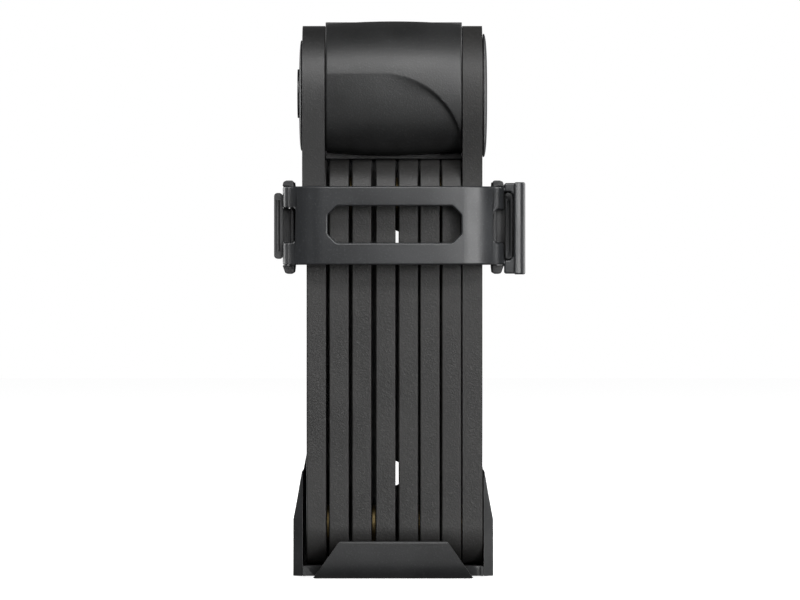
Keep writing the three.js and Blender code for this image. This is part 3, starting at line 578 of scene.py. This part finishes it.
def add_left_side():
    low, high = box_mm("left_side")
    x = (low.x, high.x)
    through = (x[0] - PAST, x[1] + PAST)
    body = prism("side_left", flank(STACK_Y - 11.5, BASE + 105.0, HIGH_PIVOT), "x", *x)
    cut(body, block("rear", through, (STACK_Y + LINK_RADIUS, 1), (HIGH_PIVOT - 1, SIDE_LOW)))
    inner = x[0] + 1.0
    room_radius = LINK_RADIUS + 0.4
    room = disc("room", "x", STACK_Y, HIGH_PIVOT, room_radius, inner, through[1], 64)
    rear_z = (HIGH_PIVOT - 20, HIGH_PIVOT + room_radius)
    cut(body, room, block("rear", (inner, through[1]), (STACK_Y, STACK_Y + 20), rear_z))
    join(body, disc("cheek", "x", STACK_Y, HIGH_PIVOT, LINK_RADIUS, x[0], inner, 64))
    cut(
        body,
        disc("bore", "x", STACK_Y, KEY_Z, 8.3, *through, 56),
        disc("pivot", "x", STACK_Y, HIGH_PIVOT, HOLE_RADIUS, *through, HOLE_STEPS),
        disc("seat", "x", STACK_Y, HIGH_PIVOT, SEAT_RADIUS, through[0], x[0] + CHEEK_SEAT_DEPTH, HOLE_STEPS),
        hinge_hollow((x[0] - 3, x[0] + 0.6)),
    )
    tidy(body, 0.2)
    soften(body, 0.7, 3, 40)
    smooth(body)
    return finish_piece(body, "head", ["left_side"], "side_plastic")


def lens_profile(base, rise, steps=12):
    """A flat back and a domed face that falls in a rounded rim."""
    profile = [(base, 0.0), (base, 0.985), (base + rise * 0.12, 1.0)]
    for k in range(1, steps):
        a = k / steps * math.pi / 2
        profile.append((base + rise * (0.18 + 0.82 * math.sin(a) ** 0.9), math.cos(a) ** 0.55))
    profile.append((base + rise, 0.0))
    return profile


def cap(name, low, high, base, rise):
    """An oval lens as wide and tall as its box, domed from base by rise along X."""
    half = ((high.y - low.y) / 2, (high.z - low.z) / 2)
    return turned(name, lens_profile(base, rise), STACK_Y, CAP_Z, 96, half)


def add_caps():
    low, high = box_mm("left_cap")
    body = cap("cap_left", low, high, high.x, low.x - high.x)
    through = (low.x - 2, high.x + 2)
    cut(
        body,
        disc("hole", "x", STACK_Y, KEY_Z, 7.0, *through, 64),
        block("slot", through, (STACK_Y, HINGE_Y), (KEY_Z - HOLLOW_HALF[1], KEY_Z + HOLLOW_HALF[1])),
        hinge_hollow(through),
    )
    smooth(body, 40)
    finish_piece(body, "head", ["left_cap"], "cap_plastic")
    low, high = box_mm("right_cap")
    body = cap("cap_right", low, high, low.x, high.x - low.x)
    smooth(body, 40)
    finish_piece(body, "link_8", ["right_cap"], "cap_plastic")


def add_flap():
    outer = box_mm("keyhole_flap")[0].x
    inner = outer + 1.15
    z = (KEY_Z - KNUCKLE_HALF, KEY_Z + KNUCKLE_HALF)
    body = disc("flap", "x", STACK_Y, KEY_Z, 6.7, outer, inner, 64)
    tongue = block("tongue", (outer + 0.3, inner), (STACK_Y + 5.2, HINGE_Y), z)
    join(body, tongue, disc("knuckle", "z", HINGE_X, HINGE_Y, 0.85, *z, 32))
    cut(body, disc("eye", "z", HINGE_X, HINGE_Y, 0.5, KEY_Z - 4, KEY_Z + 4, 24))
    tidy(body, 0.2)
    soften(body, 0.3, 3, 40)
    smooth(body)
    finish_piece(body, "keyhole_flap", ["keyhole_flap"], "cap_plastic")


BEVELS = {
    "rear_cover": 0.15,
    "lock_body": 0.3,
    "cover_screw_1": 0.12,
    "cover_screw_2": 0.12,
    "keyhole_flap_pin": 0.08,
    "cylinder_shell": 0.2,
    "cylinder_plug": 0.2,
    "cylinder_cam": 0.15,
    "locking_bolt": 0.3,
}


def widen_cover(piece):
    """Moves a cover's two ends out to the neighbouring side parts."""
    for v in piece.data.vertices:
        if v.co.x < (COVER_LOW.x + 0.2) * MM:
            v.co.x -= COVER_WIDER[0] * MM
        elif v.co.x > (COVER_HIGH.x - 0.2) * MM:
            v.co.x += COVER_WIDER[1] * MM


def add_inner_parts():
    bodies = {n: b for b, names in frame["record"]["behaviour"]["bodies"].items() for n in names}
    for node, width in BEVELS.items():
        piece = refined(node, f"fine_{node}", width)
        if node == "rear_cover":
            widen_cover(piece)
        finish_piece(piece, bodies[node], [node], SLOT_OF[node])


# --- Strap --------------------------------------------------------------------------------------

STRAP_THICK, STRAP_SIDE_THICK = 2.8, 1.5
STRAP_FLAT_X, STRAP_SIDE_Y = 19.3, -28.0
TAB_REAR_Y = -24.5
TAB_X, TAB_Y = (30.36, 34.4), (-29.6, TAB_REAR_Y)
TAB_HOLE_Z = (BASE + 87.1, BASE + 105.9)
# x and z ranges of the band's openings; the window's last two are its chamfer and corner radius
WINDOW = (-17.8, 18.5, BASE + 91.8, BASE + 101.8, 2.4, 0.9)
SLOT = ((-40.0, -26.6), (BASE + 91.9, BASE + 101.4))
NOTCH = ((27.3, 45.0), (BASE + 91.8, BASE + 100.9))
# (x, y) of the grip seen from above
GRIP = [(33.1, -24.4), (33.1, -30.95), (34.6, -30.65), (35.3, -30.2), (36.0, -29.1), (36.15, -28.4), (36.15, -24.4)]
GRIP_OUTER_X, GRIP_HOLLOW = 35.2, 0.35
BOW_CURVE, BOW_REACH, BOW_DEPTH = 0.003, 22.0, 4.0


def strap_plan(low_y, outer, inner, left_rear, right_rear):
    """The band seen from above: flat in front and round both ends back along the arms."""
    steps = 26
    out = (outer - STRAP_FLAT_X, STRAP_SIDE_Y - low_y)
    into = (inner - STRAP_FLAT_X, STRAP_SIDE_Y - low_y - STRAP_THICK)
    points = [(-outer, left_rear)]
    points += arc(-STRAP_FLAT_X, STRAP_SIDE_Y, *out, 180, 270, steps)
    points += arc(STRAP_FLAT_X, STRAP_SIDE_Y, *out, 270, 360, steps)
    points += [(outer, right_rear), (inner, right_rear)]
    points += arc(STRAP_FLAT_X, STRAP_SIDE_Y, *into, 360, 270, steps)
    points += arc(-STRAP_FLAT_X, STRAP_SIDE_Y, *into, 270, 180, steps)
    return points + [(-inner, left_rear)]


def chamfered(u0, u1, v0, v1, chamfer, radius):
    """A rectangle with its corners cut at 45 degrees and each cut's ends rounded."""
    corners = []
    for u, v, du, dv in ((u0, v0, 1, 1), (u1, v0, -1, 1), (u1, v1, -1, -1), (u0, v1, 1, -1)):
        pair = [(u + du * chamfer, v, radius), (u, v + dv * chamfer, radius)]
        corners += pair if du * dv < 0 else pair[::-1]
    return rounded(corners, 4)


def tab_frame(low_z, high_z):
    """The pull tab's frame, open towards the band."""
    (left, right), (z0, z1) = TAB_X, (low_z + 0.2, high_z - 0.2)
    plan = rounded([(left, z0, 0.6), (right, z0, 0), (right, z1, 0), (left, z1, 0.6)], 3)
    foot, head = TAB_HOLE_Z
    hole = rounded(
        [
            (left - 2, foot, 0),
            (31.9, foot, 0.3),
            (33.1, BASE + 88.5, 0.5),
            (33.1, BASE + 104.5, 0.5),
            (31.9, head, 0.3),
            (left - 2, head, 0),
        ],
        3,
    )
    return cut(prism("tab", plan, "y", *TAB_Y), prism("tab_hole", hole, "y", TAB_Y[0] - PAST, TAB_Y[1] + PAST))


def slice_faces(shape, faces, place, normal):
    """Splits faces along a plane, so that they can bend."""
    parts = list(faces)
    parts += dict.fromkeys(e for f in faces for e in f.edges)
    parts += dict.fromkeys(v for f in faces for v in f.verts)
    place = [c * MM for c in place]
    bmesh.ops.bisect_plane(shape, geom=parts, plane_co=place, plane_no=normal, dist=1e-7)


def bow_strap(body, low_z, high_z):
    """Curves the band's flat front a little and hollows the grip's outer face."""
    shape = bmesh.new()
    shape.from_mesh(body.data)
    for k in range(-16, 17):
        slice_faces(shape, list(shape.faces), (1.2 * k, 0, 0), (1, 0, 0))
    for k in range(21):
        near = [f for f in shape.faces if f.calc_center_median().x < -22 * MM]
        slice_faces(shape, near, (0, -26.0 - 0.5 * k, 0), (0, 1, 0))
    middle = (low_z + high_z) / 2 * MM
    reach = (high_z - low_z) / 2 * MM
    for v in shape.verts:
        bow = BOW_CURVE * min(abs(v.co.x / MM), BOW_REACH) ** 2
        v.co.y += bow * MM * min(1.0, max(0.0, (STRAP_SIDE_Y - v.co.y / MM) / BOW_DEPTH))
        if v.co.x > GRIP_OUTER_X * MM:
            v.co.x -= GRIP_HOLLOW * MM * (1 - ((v.co.z - middle) / reach) ** 2)
    shape.to_mesh(body.data)
    shape.free()


def add_strap():
    low, high = box_mm("strap")
    left_low, left_high = box_mm("strap_left_end")
    outer = -left_low.x
    inner, front = outer - STRAP_SIDE_THICK, low.y
    z = (left_low.z, left_high.z)
    body = prism("strap_band", strap_plan(front, outer, inner, left_high.y, TAB_REAR_Y), "z", *z)
    cut(
        body,
        prism("window", chamfered(*WINDOW), "y", front - 2, front + 6),
        prism("slot", rectangle(*SLOT[0], *SLOT[1], 0.9), "y", front - 2, -21.2),
        prism("notch", rectangle(*NOTCH[0], *NOTCH[1], 1.4), "y", front - 2, TAB_REAR_Y + 2),
    )
    join(body, tab_frame(low.z, high.z))
    for bridge_z in ((z[0], TAB_HOLE_Z[0]), (TAB_HOLE_Z[1], z[1])):
        join(body, block("bridge", (inner + 0.2, TAB_X[0] + 0.6), (TAB_Y[0] + 0.3, TAB_Y[1]), bridge_z))
    tidy(body, 0.2)
    soften(body, 0.55, 4, 38, clamp=False)
    join(body, soften(prism("grip", GRIP, "z", low.z, high.z), 0.5, 4, 30))
    bow_strap(body, low.z, high.z)
    smooth(body)
    finish_piece(body, None, ["strap", "strap_left_end"], "strap_rubber")
    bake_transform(body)


# --- Carrier ------------------------------------------------------------------------------------

# Outlines below are (u, z, radius) corners; z counts from BASE.
ARM_WALL = [
    (27.0, 83.9, 0.5),
    (27.9, 83.4, 0.6),
    (29.5, 83.4, 0.8),
    (30.3, 85.74, 0),
    (28.2, 85.74, 0),
    (28.2, 107.26, 0),
    (30.3, 107.26, 0),
    (30.1, 108.5, 0.7),
    (29.2, 108.9, 0.7),
    (27.2, 108.9, 0.6),
]
ARM_REAR = [(-15.0, 84.0, 0), (-3.8, 85.6, 1.5), (-3.8, 107.0, 1.5), (-15.0, 108.6, 0)]
LIP_FACE = [(-22.0, 0.0, 0.4), (22.0, 0.0, 0.4), (14.6, 10.6, 2.2), (-14.5, 10.6, 2.2)]
# (y, z) from the back of the lip's foot, over the top, and under the curved bottom
LIP_SECTION = [
    (-25.9, 0.1),
    (-25.9, 3.4),
    (-30.2, 3.4),
    (-31.0, 7.0),
    (-31.9, 10.2),
    (-32.3, 10.45),
    (-33.9, 10.45),
    (-34.3, 10.25),
    (-34.4, 9.8),
    (-34.2, 7.5),
    (-34.0, 5.4),
    (-33.6, 3.9),
    (-33.0, 2.6),
    (-32.1, 1.4),
    (-31.2, 0.6),
    (-30.2, 0.1),
]
# (z, outer x, front y) of a cup side, level by level
CUP_LEVELS = [
    (0.7, 27.4, -28.6),
    (8.0, 27.4, -28.1),
    (16.1, 27.4, -27.4),
    (22.0, 26.3, -26.6),
    (27.5, 25.35, -25.4),
    (29.2, 25.05, -23.5),
]
CUP_INNER_X, CUP_REAR_Y, CUP_FRONT_SLANT = 24.75, -6.6, 0.62
# (x, z) of the rolled edge along the back plate's top
BEAD = [(-22.0, 110.3), (22.0, 110.3), (19.9, 116.3), (-19.9, 116.3)]


def above_base(points):
    """The same points with z counted in the row frame."""
    return [(u, BASE + z, *rest) for u, z, *rest in points]


def mirrored(side, points):
    """Points drawn for the right side, for side 1, or their mirror image, for side -1."""
    return [(side * u, v) for u, v in points]


def span(side, low, high):
    return tuple(sorted((side * low, side * high)))


def arm(side):
    """A strap arm: a wall with a flange above and below the strap, both with rounded tips."""
    wall = above_base(rounded(ARM_WALL, 3))
    piece = soften(prism("arm", mirrored(side, wall), "y", -28.2, -14.0), 0.3, 2, 60)
    join(piece, prism("arm_rear", rounded(above_base(ARM_REAR)), "x", *span(side, 27.0, 28.2)))
    neck_top, hook_inner, hook_front = (101.32, 30.27, -27.3) if side < 0 else (100.82, 30.6, -27.8)
    neck_z = (BASE + 91.98, BASE + neck_top)
    join(piece, block("neck", span(side, 27.6, 31.4), (-25.2, -21.6), neck_z))
    plate = above_base(rectangle(hook_inner, 32.6, 87.5, 105.5, 0.9))
    hook = prism("hook", mirrored(side, plate), "y", hook_front, -20.5)
    cut(hook, block("groove", span(side, 31.0, 32.0), (-30.0, -26.4), (BASE + 89.5, BASE + 103.5)))
    join(piece, hook)
    if side > 0:
        join(piece, block("pad", (28.0, 33.9), (-24.2, -20.7), (BASE + 86.9, BASE + 106.1)))
    return piece


def cup_side(side):
    """A side wall of the cup: level by level, a plan with its front edge cut back on the outside."""
    verts, faces = [], []
    for z, outer, front in CUP_LEVELS:
        outer_front = front + CUP_FRONT_SLANT * (outer - CUP_INNER_X)
        plan = [(CUP_INNER_X, CUP_REAR_Y), (CUP_INNER_X, front), (outer, outer_front), (outer, CUP_REAR_Y)]
        verts += [(side * x, y, BASE + z) for x, y in plan]
    for k in range(len(CUP_LEVELS) - 1):
        a = 4 * k
        faces += [(a + i, a + (i + 1) % 4, a + 4 + (i + 1) % 4, a + 4 + i) for i in range(4)]
    faces += [(0, 1, 2, 3), tuple(len(verts) - 4 + i for i in range(4))]
    return soften(make("cup_side", verts, faces), 0.3, 2, 25)


def lip():
    """The cup's front lip: a face with slanted sides, a thin rolled top and a bottom that curves under."""
    body = prism("lip", above_base(LIP_SECTION), "x", LIP_FACE[0][0], LIP_FACE[1][0])
    face = above_base(rounded(LIP_FACE, 6))
    combine(body, prism("lip_face", face, "y", -36.0, -24.0), "INTERSECT")
    tidy(body, 0.2)
    return soften(body, 0.5, 3, 40)


def add_carrier():
    """The CAD moulding with its arms, cup sides and lip cut off, and finer ones joined in their place."""
    piece = bpy.data.objects.new("carrier_body", frame["nodes"]["carrier"].data.copy())
    scene.collection.objects.link(piece)
    tidy(piece, 0.3)
    for side in (-1, 1):
        cut(piece, block("off", span(side, 26.9, 40.0), (-40.0, 2.0), (BASE + 80.0, BASE + 112.0)))
        cut(piece, block("off", span(side, 24.7, 40.0), (-40.0, -7.0), (BASE - 1.0, BASE + 40.0)))
    cut(piece, block("off", (-24.0, 24.0), (-40.0, -27.6), (BASE - 1, BASE + 12.0)))
    join(piece, prism("bead", above_base(BEAD), "y", -6.9, -4.0))
    tidy(piece, 0.3)
    soften(piece, 0.35, 3, 36)
    join(piece, arm(-1), arm(1), cup_side(-1), cup_side(1), lip())
    for v in piece.data.vertices:
        if v.co.y < -28.5 * MM and v.co.z < (BASE + 0.5) * MM:
            v.co.z += 0.28 * MM * (1 - (v.co.x / (22 * MM)) ** 2)
    smooth(piece)
    finish_piece(piece, "carrier", ["carrier"], "carrier_plastic")


for i in range(len(LINK_BOXES)):
    add_link(i)
add_fasteners()
add_front_cover()
add_left_side()
add_caps()
add_flap()
add_inner_parts()
add_strap()
add_carrier()


# --- Camera, light and floor --------------------------------------------------------------------

FLOOR_Z = box_mm("carrier")[0].z * MM
AIM = Vector((0.0, -0.02, 0.02))
# azimuth, elevation, distance in metres, size, power in watts
LIGHTS = {
    "key": (6, 44, 1.5, (1.5, 0.35), 20.0),
    "front": (2, 16, 2.2, (1.2, 0.8), 9.5),
    "right_front": (28, 8, 1.4, (0.35, 0.9), 13.0),
    "low": (12, -34, 1.4, (1.0, 0.6), 2.0),
    "left_strip": (-122, 6, 1.0, (0.5, 1.2), 10.0),
    "right_strip": (110, 6, 1.0, (0.5, 1.2), 13.0),
}


def add_camera():
    data = bpy.data.cameras.new("camera")
    data.sensor_width = 36.0
    data.lens = 258.6
    data.clip_start, data.clip_end = 0.05, 50.0
    camera = bpy.data.objects.new("camera", data)
    scene.collection.objects.link(camera)
    camera.location = (1.86 * MM, -1.600, 16.1 * MM)
    camera.rotation_euler = (math.radians(90), 0, 0)
    scene.camera = camera


def area_light(name, azimuth, elevation, distance, size, power):
    """A softbox that looks at AIM; azimuth 0 is in front and 90 on the right."""
    data = bpy.data.lights.new(name, "AREA")
    data.shape = "RECTANGLE"
    data.size, data.size_y = size
    data.energy = power
    light = bpy.data.objects.new(name, data)
    scene.collection.objects.link(light)
    a, e = math.radians(azimuth), math.radians(elevation)
    away = Vector((math.sin(a) * math.cos(e), -math.cos(a) * math.cos(e), math.sin(e)))
    light.location = AIM + away * distance
    light.rotation_euler = (-away).to_track_quat("-Z", "Y").to_euler()
    light.visible_camera = False


def add_world():
    """White to the camera; for light, a bright backdrop behind the object and dim elsewhere."""
    world = bpy.data.worlds.new("studio")
    scene.world = world
    world.use_nodes = True
    nodes, links = world.node_tree.nodes, world.node_tree.links
    background = nodes["Background"]
    place = nodes.new("ShaderNodeTexCoord")
    split = nodes.new("ShaderNodeSeparateXYZ")
    links.new(place.outputs["Generated"], split.inputs["Vector"])
    ramp = nodes.new("ShaderNodeMapRange")
    ramp.interpolation_type = "SMOOTHSTEP"
    ramp.inputs["From Min"].default_value = 0.45
    ramp.inputs["From Max"].default_value = 1.0
    ramp.inputs["To Min"].default_value = 0.03
    ramp.inputs["To Max"].default_value = 0.12
    links.new(split.outputs["Y"], ramp.inputs["Value"])
    path = nodes.new("ShaderNodeLightPath")
    mix = nodes.new("ShaderNodeMix")
    mix.data_type = "FLOAT"
    mix.inputs[3].default_value = 1.0
    links.new(path.outputs["Is Camera Ray"], mix.inputs[0])
    below = nodes.new("ShaderNodeMapRange")
    below.interpolation_type = "SMOOTHSTEP"
    below.inputs["From Min"].default_value = 0.0
    below.inputs["From Max"].default_value = -0.75
    below.inputs["To Min"].default_value = 0.0
    below.inputs["To Max"].default_value = 0.10
    links.new(split.outputs["Z"], below.inputs["Value"])
    total = nodes.new("ShaderNodeMath")
    links.new(ramp.outputs["Result"], total.inputs[0])
    links.new(below.outputs["Result"], total.inputs[1])
    links.new(total.outputs["Value"], mix.inputs[2])
    links.new(mix.outputs[0], background.inputs["Strength"])
    background.inputs["Color"].default_value = (1, 1, 1, 1)


def add_floor():
    """A pale floor that adds no light, reflection or shadow to the object."""
    half = 4000
    corners = [(-half, -half, 0), (half, -half, 0), (half, half, 0), (-half, half, 0)]
    floor = make("floor", corners, [(0, 1, 2, 3)])
    floor.location.z = FLOOR_Z - 0.0001
    material = bpy.data.materials.new("pale_floor")
    material.use_nodes = True
    nodes, links = material.node_tree.nodes, material.node_tree.links
    shader = nodes["Principled BSDF"]
    place = nodes.new("ShaderNodeTexCoord")
    noise = nodes.new("ShaderNodeTexNoise")
    noise.inputs["Scale"].default_value = 300.0
    links.new(place.outputs["Object"], noise.inputs["Vector"])
    tone = nodes.new("ShaderNodeValToRGB")
    tone.color_ramp.elements[0].color = (0.90, 0.90, 0.90, 1)
    tone.color_ramp.elements[1].color = (0.94, 0.94, 0.94, 1)
    links.new(noise.outputs["Fac"], tone.inputs["Fac"])
    links.new(tone.outputs["Color"], shader.inputs["Base Color"])
    shader.inputs["Roughness"].default_value = 0.9
    shader.inputs["Specular IOR Level"].default_value = 0.1
    shader.inputs["Emission Color"].default_value = (1, 1, 1, 1)
    shader.inputs["Emission Strength"].default_value = 0.93
    floor.data.materials.append(material)
    floor.visible_diffuse = False
    floor.visible_glossy = False
    floor.visible_shadow = False


add_camera()
add_world()
add_floor()
for light_name, plan in LIGHTS.items():
    area_light(light_name, *plan)
scene.view_settings.view_transform = "Standard"
